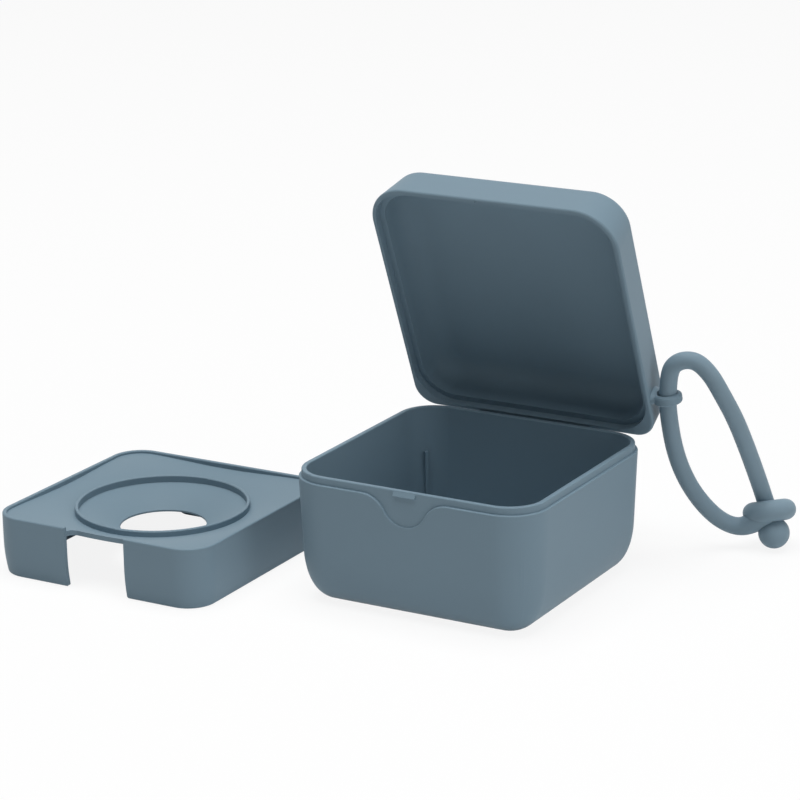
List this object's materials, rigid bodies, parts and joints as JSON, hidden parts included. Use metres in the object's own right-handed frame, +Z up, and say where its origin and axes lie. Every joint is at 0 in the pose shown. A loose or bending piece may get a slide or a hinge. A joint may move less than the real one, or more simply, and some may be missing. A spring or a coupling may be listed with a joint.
{
  "type": "pacifier case",
  "caption": "Square hinged travel case for a baby's pacifier, with a lift-out dished tray and a soft carry strap looped through an eyelet on the lid.",
  "frame": {"origin": "centre of the base's flat underside", "axes": "+X to the right of someone who faces the catch, +Y to the hinge, +Z up"},
  "size_m": [0.2183, 0.1468, 0.1244],
  "materials": {
    "case_plastic": "fine matte moulded polypropylene, blue grey",
    "strap_silicone": "satin silicone, blue grey"
  },
  "bodies": {
    "base": {"base_shell": "case_plastic"},
    "lid": {"lid_shell": "case_plastic"},
    "insert": {"pacifier_insert": "case_plastic"},
    "strap": {"strap_cord": "strap_silicone", "strap_collar": "strap_silicone", "strap_ball": "strap_silicone"}
  },
  "joints": [
    {"name": "lid_hinge", "type": "hinge", "parent": "base", "child": "lid", "pos_m": [0, 0.04445, 0.0402], "axis": [-1, 0, 0], "range_deg": [-67.4, 42.6]},
    {"name": "insert_lift", "type": "slide", "parent": "base", "child": "insert", "axis": [0, 0, 1], "range_m": [0, 0.06]},
    {"name": "strap_swivel", "type": "hinge", "parent": "lid", "child": "strap", "pos_m": [0.0474, 0.04371, 0.05543], "axis": [-0.1, -0.1, 0.9899], "range_deg": [-80, 35]}
  ]
}
